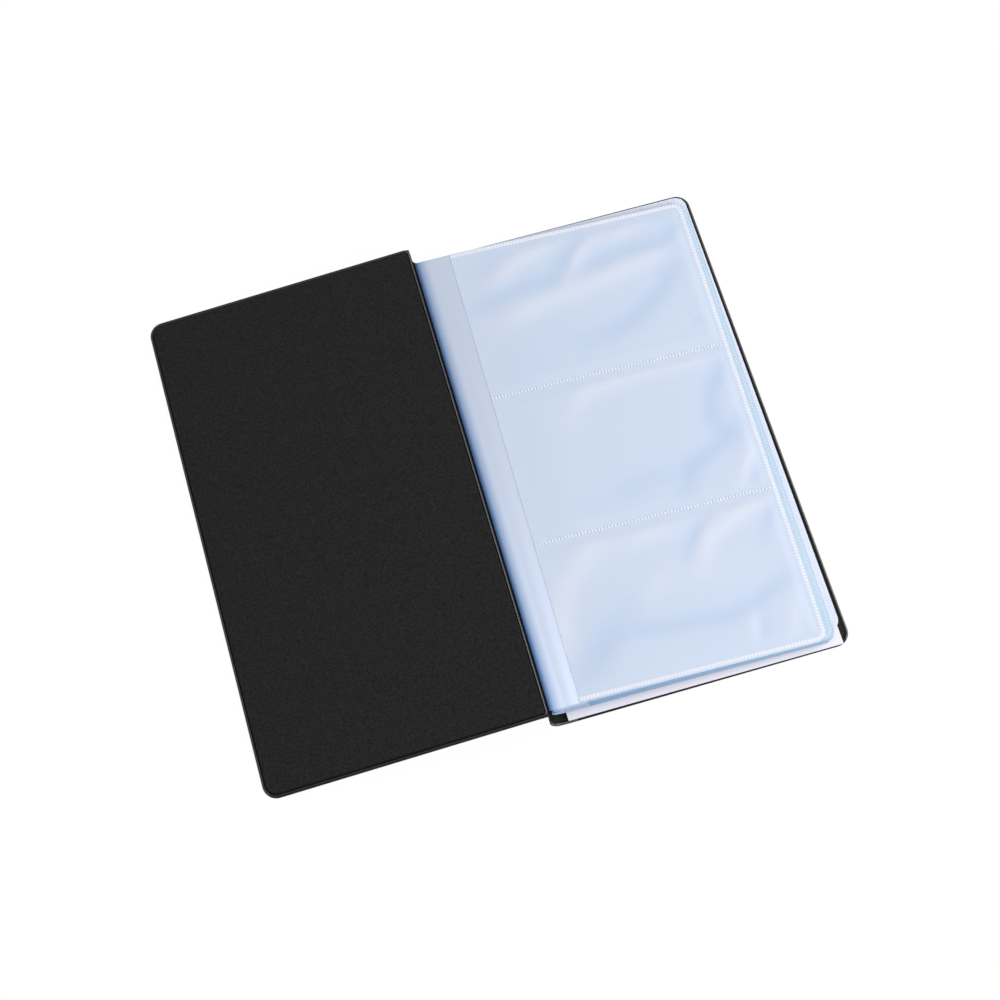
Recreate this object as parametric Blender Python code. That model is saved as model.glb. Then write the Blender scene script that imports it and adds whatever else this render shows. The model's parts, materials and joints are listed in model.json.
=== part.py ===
"""Business card book, lying open at its first leaf.

Two welded vinyl covers are joined by a soft spine. Folded sheets of clear film are nested in the spine,
and each half of a sheet is a leaf with three side-loading card pockets. A plain card sheet lies on the
inside of the back cover.

Metres, +Z up. The book lies on the XY plane, its spine runs along Y, and the origin is below the
middle of the open book. The back cover is on the +X side, turned a little in its plane, and the front
cover slopes down to -X. The soft spine leans along Y to meet both.
"""

import math

import bmesh
import bpy
from mathutils import Vector

# Covers
COVER_WIDTH = 0.108
COVER_HEIGHT = 0.200
COVER_CORNER = 0.0055
CREASE_CORNER = 0.0012
SKIN = 0.0005
BOARD = 0.0013
LINING = 0.0004
LAYER_GAP = 0.0001
FRONT_SLOPE = math.radians(5.9)
BACK_TURN = math.radians(0.7)
TABLE_GAP = 0.00005

# Welded edge of a lining, from the outside in: bead, groove, shoulder over the board
BEAD_WIDTH = 0.0010
BEAD_HEIGHT = 0.0007
GROOVE_DEPTH = 0.0004
GROOVE_WALL = 0.0001
GROOVE_WIDTH = 0.0002
SHOULDER_WIDTH = 0.0003
BOARD_INSET = 0.0018

# Spine
BACK_PANEL_X = 0.0040
BACK_PANEL_Y = -0.0015
SPINE_FOOT_X = -0.00065
FRONT_HINGE_X = -0.00565
SPINE_BEND = 0.0046
SPINE_LINING = 0.0003
FOOT_GAP = 0.0003
HINGE_GAP = 0.00035
LINING_END_GAP = 0.0009
LINING_START_STEP = 2
LINING_SETBACK = 0.0010

# Card sheet on the inside of the back cover
SHEET_THICKNESS = 0.0003
SHEET_WIDTH = 0.1077
SHEET_HEIGHT = 0.1976
SHEET_MIDDLE = (0.05485, -0.00195)
SHEET_TURN = math.radians(0.45)

# Leaves, counted from the top: the top leaf, the block below it and the lowest leaf each lie askew
LEAF_COUNT = 10
FILM = 0.0001
POCKET_EDGE_X = 0.0086
LEAF_WIDTH = 0.0966
LEAF_BOTTOM = -0.0971
LEAF_HEIGHT = 0.19255
LEAF_CORNER = 0.0045
LEAF_CORNER_AT_GUTTER = 0.0003
BLOCK_SHIFT = (0.0021, -0.0003)
BLOCK_CREEP = 0.0001
LOWEST_SHIFT = (0.0046, 0.0019)
TOP_TWIST = math.radians(-0.74)
BLOCK_TWIST = math.radians(-0.32)
LOWEST_TWIST = math.radians(0.49)
ROOT_PITCH = 0.0005
ROOT_POCKET_GAP = 0.00015
FORE_PITCH = 0.0003
FORE_POCKET_GAP = 0.00005
STRIP_GAP = 0.00015
FOLD_CENTRE_X = 0.00075
FOLD_STRETCH = 2.1
LEAF_AXIS = (0.00025, 0.0110)

# Strip that ties the folds to the spine
BINDING = 0.0003
BINDING_HALF_ANGLE = 25

# Facets
CORNER_STEPS = 8
BEND_STEPS = 10
FOLD_STEPS = 14
SHARP_ANGLE = math.radians(35)

# Levels that follow from the sizes above
LINING_BASE = SKIN + LAYER_GAP
COVER_THICKNESS = LINING_BASE + BOARD + LAYER_GAP + LINING
SHEET_BASE = COVER_THICKNESS + LAYER_GAP
LEAF_BASE = SHEET_BASE + SHEET_THICKNESS + LAYER_GAP
FRONT_HINGE_Z = COVER_WIDTH * math.sin(FRONT_SLOPE) + SKIN / 2 * math.cos(FRONT_SLOPE) + TABLE_GAP

for stale in list(bpy.data.objects):
    bpy.data.objects.remove(stale, do_unlink=True)


def make_material(name, colour, roughness, alpha=1.0):
    """A Principled material with one colour."""
    material = bpy.data.materials.new(name)
    material.use_nodes = True
    shader = material.node_tree.nodes["Principled BSDF"]
    shader.inputs["Base Color"].default_value = (*colour, 1.0)
    shader.inputs["Roughness"].default_value = roughness
    shader.inputs["Metallic"].default_value = 0.0
    shader.inputs["Alpha"].default_value = alpha
    material.diffuse_color = (*colour, alpha)
    return material


def make_axis(name, parent=None, location=(0, 0, 0), turn=(0, 0, 0)):
    """An empty at a joint's axis or a piece's seat, with its turn about X, Y and Z."""
    axis = bpy.data.objects.new(name, None)
    bpy.context.collection.objects.link(axis)
    axis.parent = parent
    axis.location = location
    axis.rotation_euler = turn
    return axis


def outline(x0, x1, y0, y1, radius_0, radius_1):
    """A rectangle with round corners, radius_0 at its x0 end and radius_1 at its x1 end."""
    corners = [
        (x0 + radius_0, y0 + radius_0, radius_0, 180),
        (x1 - radius_1, y0 + radius_1, radius_1, 270),
        (x1 - radius_1, y1 - radius_1, radius_1, 0),
        (x0 + radius_0, y1 - radius_0, radius_0, 90),
    ]
    points = []
    for centre_x, centre_y, radius, start in corners:
        for step in range(CORNER_STEPS + 1):
            angle = math.radians(start + 90 * step / CORNER_STEPS)
            points.append((centre_x + radius * math.cos(angle), centre_y + radius * math.sin(angle)))
    return points


def loft(name, loops, material, parent, origin=(0, 0, 0)):
    """A closed solid through a stack of loops, capped at both ends, in its parent's own frame."""
    bm = bmesh.new()
    rings = [[bm.verts.new(Vector(point) - Vector(origin)) for point in loop] for loop in loops]
    bm.faces.new(rings[0])
    bm.faces.new(rings[-1])
    for lower, upper in zip(rings, rings[1:]):
        for i in range(len(lower)):
            bm.faces.new((lower[i - 1], lower[i], upper[i], upper[i - 1]))
    bmesh.ops.recalc_face_normals(bm, faces=bm.faces)
    mesh = bpy.data.meshes.new(name)
    bm.to_mesh(mesh)
    bm.free()
    mesh.shade_smooth()
    mesh.set_sharp_from_angle(angle=SHARP_ANGLE)
    mesh.materials.append(material)
    piece = bpy.data.objects.new(name, mesh)
    bpy.context.collection.objects.link(piece)
    piece.parent = parent
    return piece


def plate(name, points, bottom, top, material, parent, origin=(0, 0, 0)):
    """An outline made solid between two heights, each a number or a function of x."""

    def level(height, x):
        return height(x) if callable(height) else height

    loops = [[(x, y, level(height, x)) for x, y in points] for height in (bottom, top)]
    return loft(name, loops, material, parent, origin)


def offset_path(path, distance):
    """The path moved sideways, to the left of its direction of travel."""
    moved = []
    for i, point in enumerate(path):
        before = Vector(path[max(i - 1, 0)])
        after = Vector(path[min(i + 1, len(path) - 1)])
        along = (after - before).normalized()
        moved.append((point[0] - along.y * distance, point[1] + along.x * distance))
    return moved


def no_drift(_):
    return 0.0


def strip(name, path, thickness, y0, y1, material, parent, origin=(0, 0, 0), drift=no_drift):
    """A bent strip: a path in X and Z made thick, from y0 to y1. Drift moves it in Y by its height."""
    section = offset_path(path, thickness / 2) + offset_path(path, -thickness / 2)[::-1]
    loops = [[(x, y + drift(z), z) for x, z in section] for y in (y0, y1)]
    return loft(name, loops, material, parent, origin)


def arc(centre, reach, rise, start, end, steps):
    """Points on an ellipse in X and Z, reach wide and rise high, from start to end in degrees."""
    angles = [math.radians(start + (end - start) * i / steps) for i in range(steps + 1)]
    return [(centre[0] + reach * math.cos(a), centre[1] + rise * math.sin(a)) for a in angles]


def cover_span(side, near, far):
    """The x ends and corner radii of a cover layer, from near to far off its crease, in order of x."""
    fore_corner = max(COVER_CORNER - (COVER_WIDTH - far), CREASE_CORNER)
    if side > 0:
        return near, far, CREASE_CORNER, fore_corner
    return -far, -near, fore_corner, CREASE_CORNER


def cover_outline(side, inset, crease_inset):
    """One layer of a cover, drawn in from the free edges and from the crease."""
    x0, x1, radius_0, radius_1 = cover_span(side, crease_inset, COVER_WIDTH - inset)
    half = COVER_HEIGHT / 2 - inset
    return outline(x0, x1, -half, half, radius_0, radius_1)


def make_board(name, side, parent, floor):
    """The stiff grey board inside a cover."""
    points = cover_outline(side, BOARD_INSET, BOARD_INSET + LINING_SETBACK)
    base = floor + LINING_BASE
    return plate(name, points, base, base + BOARD, board_grey, parent)


def make_lining(name, side, parent, floor):
    """The inner vinyl sheet: a bead at its welded edge, a groove, and a shoulder up over the board."""
    base = floor + LINING_BASE
    bead_top = base + BEAD_HEIGHT
    groove = bead_top - GROOVE_DEPTH
    panel = floor + COVER_THICKNESS
    pocket = BOARD_INSET - LAYER_GAP
    groove_start = BEAD_WIDTH + GROOVE_WALL
    groove_end = groove_start + GROOVE_WIDTH
    section = [
        (pocket, panel - LINING),
        (pocket, base),
        (0.0, base),
        (0.0, bead_top),
        (BEAD_WIDTH, bead_top),
        (groove_start, groove),
        (groove_end, groove),
        (groove_end + SHOULDER_WIDTH, panel),
    ]
    loops = []
    for inset, height in section:
        points = cover_outline(side, inset, inset + LINING_SETBACK)
        loops.append([(x, y, height) for x, y in points])
    return loft(name, loops, cover_vinyl, parent)


def skin_left():
    """Where the back cover's outer skin ends at the spine, off the cover's crease, half way up the book."""
    return (SPINE_FOOT_X + FOOT_GAP - BACK_PANEL_X) / math.cos(BACK_TURN)


def make_back_cover(parent):
    """Back cover, flat on the table. Its outer skin runs on to the foot of the spine and ends along it."""
    square = cover_outline(1, 0.0, skin_left())
    lean = math.tan(BACK_TURN)
    points = [(x + y * lean if x < COVER_WIDTH / 2 else x, y) for x, y in square]
    plate("back_cover_skin", points, 0.0, SKIN, cover_vinyl, parent)
    make_board("back_cover_board", 1, parent, 0.0)
    make_lining("back_cover_lining", 1, parent, 0.0)


def make_front_cover(parent):
    """Front cover, in the frame of its hinge, whose axis is in the middle of the outer skin."""
    floor = -SKIN / 2
    plate("front_cover_skin", cover_outline(-1, 0.0, HINGE_GAP), floor, floor + SKIN, cover_vinyl, parent)
    make_board("front_cover_board", -1, parent, floor)
    make_lining("front_cover_lining", -1, parent, floor)


def spine_path():
    """Middle of the spine's outer skin: a round bend up from the foot, then straight to the front hinge."""
    foot = Vector((SPINE_FOOT_X, SKIN / 2))
    hinge = Vector((FRONT_HINGE_X, FRONT_HINGE_Z))
    centre = foot + Vector((0.0, SPINE_BEND))
    reach = hinge - centre
    touch = math.degrees(math.atan2(reach.y, reach.x) + math.acos(SPINE_BEND / reach.length))
    start = 270 - math.degrees(FOOT_GAP / SPINE_BEND)
    path = arc(centre, SPINE_BEND, SPINE_BEND, start, touch, BEND_STEPS)
    wall = (hinge - Vector(path[-1])).normalized()
    path.append(tuple(hinge - wall * HINGE_GAP))
    return path


def spine_drift(z):
    """How far the spine is moved in Y: with the back cover at its foot, with the front one at its hinge."""
    at_foot = BACK_PANEL_Y + skin_left() * math.sin(BACK_TURN)
    return at_foot * (1 - z / FRONT_HINGE_Z)


def make_spine(parent, origin):
    """Soft spine: the outer skin and a thinner inner lining, both without a board."""
    half = COVER_HEIGHT / 2
    path = spine_path()
    strip("spine_skin", path, SKIN, -half, half, cover_vinyl, parent, origin, spine_drift)
    inner = offset_path(path, -(SKIN / 2 + LAYER_GAP + SPINE_LINING / 2))
    wall = (Vector(inner[-1]) - Vector(inner[-2])).normalized()
    inner[-1] = tuple(Vector(inner[-1]) - wall * LINING_END_GAP)
    lining_half = half - BEAD_WIDTH
    upright = inner[LINING_START_STEP:]
    span = (-lining_half, lining_half)
    strip("spine_lining", upright, SPINE_LINING, *span, cover_vinyl, parent, origin, spine_drift)


def leaf_name(number):
    return f"leaf_{number:02d}"


def leaf_root(number):
    """Height of a leaf's base film beside the fold."""
    return LEAF_BASE + (LEAF_COUNT - number) * ROOT_PITCH


def leaf_fore(number):
    """Height of a leaf's base film at its fore edge."""
    return LEAF_BASE + (LEAF_COUNT - number) * FORE_PITCH


def leaf_place(number):
    """How far a leaf has slipped across and along the stack, beside the top leaf."""
    if number == 1:
        return 0.0, 0.0
    if number == LEAF_COUNT:
        return LOWEST_SHIFT
    return BLOCK_SHIFT[0] + (number - 2) * BLOCK_CREEP, BLOCK_SHIFT[1]


def leaf_twist(number):
    if number == 1:
        return TOP_TWIST
    return LOWEST_TWIST if number == LEAF_COUNT else BLOCK_TWIST


def turn_points(points, angle, middle):
    """Points in X and Y turned about a middle."""
    cos, sin = math.cos(angle), math.sin(angle)
    turned = []
    for x, y in points:
        across, along = x - middle[0], y - middle[1]
        turned.append((middle[0] + across * cos - along * sin, middle[1] + across * sin + along * cos))
    return turned


def make_leaf(number, parent, origin):
    """One leaf: the narrow gutter beside the fold, the base film, and the pocket film that lies on it."""
    name = leaf_name(number)
    shift_x, shift_y = leaf_place(number)
    y0 = LEAF_BOTTOM + shift_y
    y1 = y0 + LEAF_HEIGHT
    pocket_x = POCKET_EDGE_X + shift_x
    fore_x = pocket_x + LEAF_WIDTH
    root = leaf_root(number)

    def between(at_root, at_fore):
        return lambda x: at_root + (at_fore - at_root) * (x - pocket_x) / LEAF_WIDTH

    film_base = between(root, leaf_fore(number))
    film_top = between(root + FILM, leaf_fore(number) + FILM)
    pocket_base = between(root + FILM + ROOT_POCKET_GAP, leaf_fore(number) + FILM + FORE_POCKET_GAP)
    pocket_top = between(root + 2 * FILM + ROOT_POCKET_GAP, leaf_fore(number) + 2 * FILM + FORE_POCKET_GAP)
    square_panel = outline(pocket_x, fore_x, y0, y1, LEAF_CORNER_AT_GUTTER, LEAF_CORNER)
    pivot = (pocket_x, 0.0)
    panel = turn_points(square_panel, leaf_twist(number), pivot)
    plate(f"{name}_film", panel, film_base, film_top, leaf_film, parent, origin)
    plate(f"{name}_pockets", panel, pocket_base, pocket_top, pocket_film, parent, origin)
    fold_x = FOLD_CENTRE_X + STRIP_GAP
    gutter_x = pocket_x - STRIP_GAP
    gutter_edge = turn_points([(gutter_x, y0), (gutter_x, y1)], leaf_twist(number), pivot)
    gutter = [(fold_x, y0), *gutter_edge, (fold_x, y1)]
    plate(f"{name}_gutter", gutter, root, root + FILM, leaf_film, parent, origin)


def fold_centre_height():
    return (leaf_root(1) + leaf_root(LEAF_COUNT) + FILM) / 2


def fold_rise(sheet):
    """Half the height between a sheet's two leaves beside their fold."""
    return (leaf_root(sheet) - leaf_root(LEAF_COUNT + 1 - sheet)) / 2


def make_fold(sheet, parent):
    """The fold that joins a sheet's upper leaf to its lower leaf, round the left of the stack."""
    upper, lower = sheet, LEAF_COUNT + 1 - sheet
    rise = fold_rise(sheet)
    centre = (FOLD_CENTRE_X, fold_centre_height())
    path = arc(centre, rise * FOLD_STRETCH, rise, 90, 270, FOLD_STEPS)
    upper_y, lower_y = leaf_place(upper)[1], leaf_place(lower)[1]

    def drift(z):
        return (upper_y + lower_y) / 2 + (upper_y - lower_y) * (z - centre[1]) / (2 * rise)

    span = (LEAF_BOTTOM, LEAF_BOTTOM + LEAF_HEIGHT)
    strip(f"sheet_{sheet}_fold", path, FILM, *span, leaf_film, parent, drift=drift)


def make_binding(parent):
    """The welded strip that hugs the outermost fold and holds the sheets to the spine."""
    rise = fold_rise(1)
    clear = FILM / 2 + LAYER_GAP + BINDING / 2
    centre = (FOLD_CENTRE_X, fold_centre_height())
    start, end = 180 - BINDING_HALF_ANGLE, 180 + BINDING_HALF_ANGLE
    path = arc(centre, rise * FOLD_STRETCH + clear, rise + clear, start, end, BEND_STEPS)
    shift_y = leaf_place(LEAF_COUNT)[1]
    y0 = LEAF_BOTTOM + shift_y
    strip("binding_strip", path, BINDING, y0, LEAF_BOTTOM + LEAF_HEIGHT, cover_vinyl, parent)


def make_card_sheet(parent):
    """The plain white card sheet on the inside of the back cover."""
    x, y = SHEET_MIDDLE
    corner = LEAF_CORNER_AT_GUTTER
    across, along = SHEET_WIDTH / 2, SHEET_HEIGHT / 2
    square = outline(x - across, x + across, y - along, y + along, corner, corner)
    points = turn_points(square, SHEET_TURN, SHEET_MIDDLE)
    plate("backing_sheet", points, SHEET_BASE, SHEET_BASE + SHEET_THICKNESS, sheet_white, parent)


cover_vinyl = make_material("cover_vinyl", (0.018, 0.018, 0.019), 0.62)
board_grey = make_material("board_grey", (0.36, 0.34, 0.31), 0.9)
sheet_white = make_material("sheet_white", (0.80, 0.80, 0.86), 0.75)
leaf_film = make_material("leaf_film", (0.62, 0.74, 0.88), 0.3, 0.45)
pocket_film = make_material("pocket_film", (0.66, 0.77, 0.90), 0.3, 0.45)

book = make_axis("book")
back_axis = make_axis("back_panel", book, (BACK_PANEL_X, BACK_PANEL_Y, 0), (0, 0, BACK_TURN))
spine_place = (SPINE_FOOT_X, 0, SKIN / 2)
spine_axis = make_axis("spine_axis", book, spine_place)
hinge_place = Vector((FRONT_HINGE_X, 0, FRONT_HINGE_Z)) - Vector(spine_place)
front_axis = make_axis("front_hinge_axis", spine_axis, hinge_place, (0, -FRONT_SLOPE, 0))
leaf_place_on_axis = (LEAF_AXIS[0], 0, LEAF_AXIS[1])
leaf_axis = make_axis("leaf_axis", book, leaf_place_on_axis)

make_back_cover(back_axis)
make_spine(spine_axis, spine_place)
make_front_cover(front_axis)
make_card_sheet(book)
make_binding(book)
for sheet_number in range(1, LEAF_COUNT // 2 + 1):
    make_fold(sheet_number, book)
for leaf_number in range(1, LEAF_COUNT + 1):
    make_leaf(leaf_number, leaf_axis, leaf_place_on_axis)

print(f"front hinge at x {FRONT_HINGE_X:.5f}, z {FRONT_HINGE_Z:.5f}")
print(f"spine foot axis at x {SPINE_FOOT_X:.5f}, z {SKIN / 2:.5f}")
print(f"leaf axis at x {LEAF_AXIS[0]:.5f}, z {LEAF_AXIS[1]:.5f}")
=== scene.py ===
# %% [markdown]
# # A business card book, lying open at its first leaf
# The real book is one sheet of black vinyl welded round two boards, with folded sheets of clear film
# held in its spine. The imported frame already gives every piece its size, its place and its joints. This
# lesson makes the surfaces that a hand and an eye would know: welded beads, a soft spine, wavy pockets
# and rows of small weld marks. Everything is in metres, in the frame's own axes: the book lies on the
# XY plane and its spine runs along Y.

# %% Load the frame
import json
import math

import bmesh
import bpy
from mathutils import Matrix, Vector, noise


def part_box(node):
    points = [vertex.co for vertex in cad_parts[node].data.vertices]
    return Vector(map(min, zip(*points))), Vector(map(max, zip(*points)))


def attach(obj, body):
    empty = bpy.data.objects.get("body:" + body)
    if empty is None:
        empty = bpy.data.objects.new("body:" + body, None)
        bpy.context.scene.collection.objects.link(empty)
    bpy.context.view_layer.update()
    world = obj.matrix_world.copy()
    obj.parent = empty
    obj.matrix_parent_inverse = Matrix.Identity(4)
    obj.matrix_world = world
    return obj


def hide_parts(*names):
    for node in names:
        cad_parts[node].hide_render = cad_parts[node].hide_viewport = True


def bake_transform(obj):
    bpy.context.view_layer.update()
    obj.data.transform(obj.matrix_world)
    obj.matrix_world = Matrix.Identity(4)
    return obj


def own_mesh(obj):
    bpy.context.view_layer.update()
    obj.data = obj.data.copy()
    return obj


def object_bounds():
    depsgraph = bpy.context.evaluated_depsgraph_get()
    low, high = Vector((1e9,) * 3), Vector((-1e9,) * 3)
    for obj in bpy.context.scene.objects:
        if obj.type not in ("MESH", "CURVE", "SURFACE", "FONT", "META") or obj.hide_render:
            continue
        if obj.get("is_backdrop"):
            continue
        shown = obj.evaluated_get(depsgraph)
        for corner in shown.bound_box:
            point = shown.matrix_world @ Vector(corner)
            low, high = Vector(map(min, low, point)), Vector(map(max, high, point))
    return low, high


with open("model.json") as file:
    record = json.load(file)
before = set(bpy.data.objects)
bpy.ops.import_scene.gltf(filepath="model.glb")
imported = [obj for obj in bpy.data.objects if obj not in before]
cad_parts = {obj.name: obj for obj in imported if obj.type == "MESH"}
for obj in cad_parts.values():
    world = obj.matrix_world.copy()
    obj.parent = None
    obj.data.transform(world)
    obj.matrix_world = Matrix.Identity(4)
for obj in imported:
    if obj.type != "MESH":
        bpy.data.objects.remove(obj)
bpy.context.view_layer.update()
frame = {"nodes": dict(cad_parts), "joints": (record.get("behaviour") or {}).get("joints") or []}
MM = 0.001

# %% [markdown]
# Before making anything, measure. The covers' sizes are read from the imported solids, so a new surface
# lands where the solid is and needs no fitting. The front cover slopes down from its hinge to the table,
# and its slope follows from the height of the hinge and the width of the cover. The back cover lies
# flat, turned a little in its plane, so its seat is noted here as a place and a turn.

# %% Measure the covers and their hinges
axis_of = {joint["name"]: Vector(joint["pos_m"]) for joint in frame["joints"]}
hinge = axis_of["front_cover_hinge"]
foot = axis_of["spine_fold"]
skin_low, skin_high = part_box("back_cover_skin")
front_low, front_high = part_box("front_cover_skin")
COVER_WIDTH = 108 * MM
COVER_HALF = front_high.y
BACK_PANEL = Vector((4.0 * MM, -1.5 * MM, 0))
BACK_TURN = math.radians(0.7)
SKIN = skin_high.z - skin_low.z
LINING_SETBACK = 0.15 * MM
PANEL_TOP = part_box("back_cover_lining")[1].z
FRONT_SLOPE = math.asin((hinge.z - front_low.z - SKIN / 2) / COVER_WIDTH)
print(f"cover {COVER_WIDTH / MM:.1f} x {2 * COVER_HALF / MM:.1f} mm, front slope",
      f"{math.degrees(FRONT_SLOPE):.2f} degrees")

# %% [markdown]
# ## Finishes
# Every finish is a Principled shader with textures on Object coordinates, which are metres on the piece
# itself. A grain of 0.4 mm is then a texture scale of one over 0.4 mm, and it stays the same size on
# every piece. Small helpers keep the node trees short: they start a finish, add a node and feed its
# sockets, and make the ramps, noises and bumps that every finish uses.

# %% Helpers for node trees
def new_finish(name):
    """A material, its Principled shader, and the coordinates on the piece in metres."""
    material = bpy.data.materials.new(name)
    material.use_nodes = True
    place = material.node_tree.nodes.new("ShaderNodeTexCoord")
    return material, material.node_tree.nodes["Principled BSDF"], place.outputs["Object"]


def feed(material, socket, value):
    """Give a socket a plain value, or link another node's output to it."""
    if isinstance(value, bpy.types.NodeSocket):
        material.node_tree.links.new(value, socket)
    else:
        socket.default_value = value


def add(material, kind, sockets, **settings):
    """Add one node with its settings, and feed its sockets by name."""
    node = material.node_tree.nodes.new(kind)
    for key, value in settings.items():
        setattr(node, key, value)
    for key, value in sockets.items():
        feed(material, node.inputs[key], value)
    return node


def ramp(material, factor, *stops):
    """A colour ramp through stops of (position, colour), in order."""
    node = add(material, "ShaderNodeValToRGB", {"Fac": factor})
    points = node.color_ramp.elements
    points[0].position, points[0].color = stops[0][0], (*stops[0][1], 1.0)
    points[1].position, points[1].color = stops[-1][0], (*stops[-1][1], 1.0)
    for position, colour in stops[1:-1]:
        points.new(position).color = (*colour, 1.0)
    return node.outputs["Color"]


def cloud(material, place, size, detail=2.0):
    """Soft noise with patches of about that size in metres, from 0 to 1."""
    sockets = {"Vector": place, "Scale": 1 / size, "Detail": detail}
    return add(material, "ShaderNodeTexNoise", sockets).outputs["Fac"]


def between(material, factor, low, high):
    """The factor's 0 to 1 mapped to low to high."""
    sockets = {"Value": factor, "To Min": low, "To Max": high}
    return add(material, "ShaderNodeMapRange", sockets).outputs["Result"]


def progress(material, value, start, end):
    """How far a value has come from start to end, from 0 to 1."""
    sockets = {"Value": value, "From Min": start, "From Max": end}
    return add(material, "ShaderNodeMapRange", sockets).outputs["Result"]


def bump(material, height, strength, depth):
    """A normal from a height, depth in metres."""
    sockets = {"Height": height, "Strength": strength, "Distance": depth}
    return add(material, "ShaderNodeBump", sockets).outputs["Normal"]


print("node helpers ready")

# %% [markdown]
# ** Black vinyl.** The cover is soft PVC pressed on a matt grained roller, so it has tiny pebbles, hardly
# any gloss and faint cloudy smudges. A smooth Voronoi texture gives the pebbles, a fine noise flecks
# their colour, and a wide noise changes the gloss. A photograph of grain would tile and would not be the
# same size everywhere. The welded beads were melted against a smooth tool, so they are glossier; their
# lighter, mauve-grey colour is a painted highlight, which shows them catching the light.

# %% Black vinyl
VINYL_GRAIN = 0.42 * MM
PEBBLE_DEPTH = 0.06 * MM
SMUDGE_SIZE = 34 * MM
SPECK_SIZE = 0.8 * MM
# The mauve tint of the beads' painted highlight.
HIGHLIGHT_TINT = (1.0, 0.88, 0.93)


def make_vinyl(name, dark, light, shine, smooth, rough, tint=(1.0, 1.0, 1.02)):
    """Black vinyl, its grain flecked in two near blacks, smudged between two roughnesses."""
    material, shader, spot = new_finish(name)
    sockets = {"Vector": spot, "Scale": 1 / VINYL_GRAIN}
    pebbles = add(material, "ShaderNodeTexVoronoi", sockets, feature="SMOOTH_F1").outputs["Distance"]
    smudge = cloud(material, spot, SMUDGE_SIZE, 5.0)
    speck = cloud(material, spot, SPECK_SIZE)
    stops = [(place, [shade * part for part in tint]) for place, shade in ((0.35, dark), (0.65, light))]
    feed(material, shader.inputs["Base Color"], ramp(material, speck, *stops))
    feed(material, shader.inputs["Roughness"], between(material, smudge, smooth, rough))
    feed(material, shader.inputs["Normal"], bump(material, pebbles, 0.5, PEBBLE_DEPTH))
    shader.inputs["Specular IOR Level"].default_value = shine
    return material


cover_vinyl = make_vinyl("cover_vinyl_grain", 0.0073, 0.0147, 0.09, 0.46, 0.62)
lining_vinyl = make_vinyl("lining_vinyl_grain", 0.0075, 0.0149, 0.09, 0.46, 0.62)
# The beads' lighter base colour is a painted highlight; their gloss and smoothness are real.
bead_vinyl = make_vinyl("bead_vinyl_pressed_highlight", 0.016, 0.026, 0.7, 0.30, 0.42, HIGHLIGHT_TINT)
print("vinyl grain", VINYL_GRAIN / MM, "mm")

# %% [markdown]
# ** Clear film.** The leaves are polypropylene: clear in one layer, pale blue in a stack. Each film is
# given some body with a blue cast, and the pocket film on top is see-through. The pocket film's colour
# follows an attribute that the mesh carries, lift, taken from its waves: painted shading of the waves,
# brighter on ridges and bluer in hollows, partly the film's own milkiness where it lifts. The film that
# dives into the spine is coloured by how deep it lies, darker in the spine: painted shade and a painted
# reflection of the black wall, besides the film's own deeper blue there; an attribute stays with the film
# when a leaf turns.

# %% Clear film
FILM_SHINE = 0.35
POCKET_ALPHA = 0.62
POCKET_HAZE = 9 * MM
POCKET_RIPPLE = 0.5 * MM
LEAF_HAZE = 14 * MM
GUTTER_HAZE = 12 * MM


def start_film(name, haze_size, detail, smooth, rough, alpha=1.0):
    """A film's material and shader, the place on the piece, and the haze that sets its gloss."""
    material, shader, place = new_finish(name)
    haze = cloud(material, place, haze_size, detail)
    feed(material, shader.inputs["Roughness"], between(material, haze, smooth, rough))
    shader.inputs["Specular IOR Level"].default_value = FILM_SHINE
    shader.inputs["Alpha"].default_value = alpha
    return material, shader, place, haze


def make_pocket_film(name, tight, plain, raised):
    """The welded-on pocket film. Its attribute lift runs from 0, tight, to 1, raised: painted wave
    shading, partly real milkiness.
    """
    material, shader, _, haze = start_film(name, POCKET_HAZE, 3.0, 0.28, 0.42, POCKET_ALPHA)
    lift = add(material, "ShaderNodeAttribute", {}, attribute_name="lift").outputs["Fac"]
    colour = ramp(material, lift, (0.0, tight), (0.5, plain), (1.0, raised))
    feed(material, shader.inputs["Base Color"], colour)
    feed(material, shader.inputs["Normal"], bump(material, haze, 0.12, POCKET_RIPPLE))
    return material


def make_base_film(name, colour, deeper, alpha):
    """The leaf's own film under the pockets."""
    material, shader, _, haze = start_film(name, LEAF_HAZE, 3.0, 0.26, 0.4, alpha)
    feed(material, shader.inputs["Base Color"], ramp(material, haze, (0.3, deeper), (0.7, colour)))
    return material


print("clear films: haze of", round(POCKET_HAZE / MM), "to", round(LEAF_HAZE / MM), "mm")

# %% [markdown]
# Two films are not even. The cut edges of the pressed stack are deep blue beside the spine and paler
# towards the free end, so their colour follows X. The gutter is darkest in the spine: partly the film's
# own deeper blue where it bends in, partly painted shade and a painted reflection of the black wall. Its
# end near the reader has painted light: its colour is scaled brighter along Y.

# %% Cut edges and gutters
EDGE_DEEP_X = 40 * MM
EDGE_PALE_X = 105 * MM
# Painted light: the gutter is brightened towards its end near the reader.
GUTTER_END_Y = 95 * MM
NEAR_EASING = 2.2
FAR_BRIGHTNESS = 0.99
NEAR_BRIGHTNESS = 1.28
# Painted shade: the gutter darkens into the spine, for the shade and the black wall's reflection there as
# well as the film's deeper blue.
GUTTER_STOPS = [
    (0.0, (0.05, 0.12, 0.32)),
    (0.2, (0.14, 0.26, 0.52)),
    (0.45, (0.29, 0.39, 0.585)),
    (1.0, (0.405, 0.458, 0.565)),
]


def make_cut_edge(name, deep, pale):
    """The cut edges of the pressed stack: deep beside the spine and paler towards the free end."""
    material, shader, place, _ = start_film(name, LEAF_HAZE, 3.0, 0.26, 0.4)
    across = add(material, "ShaderNodeSeparateXYZ", {"Vector": place}).outputs["X"]
    share = progress(material, across, EDGE_DEEP_X, EDGE_PALE_X)
    feed(material, shader.inputs["Base Color"], ramp(material, share, (0.0, deep), (1.0, pale)))
    return material


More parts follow.
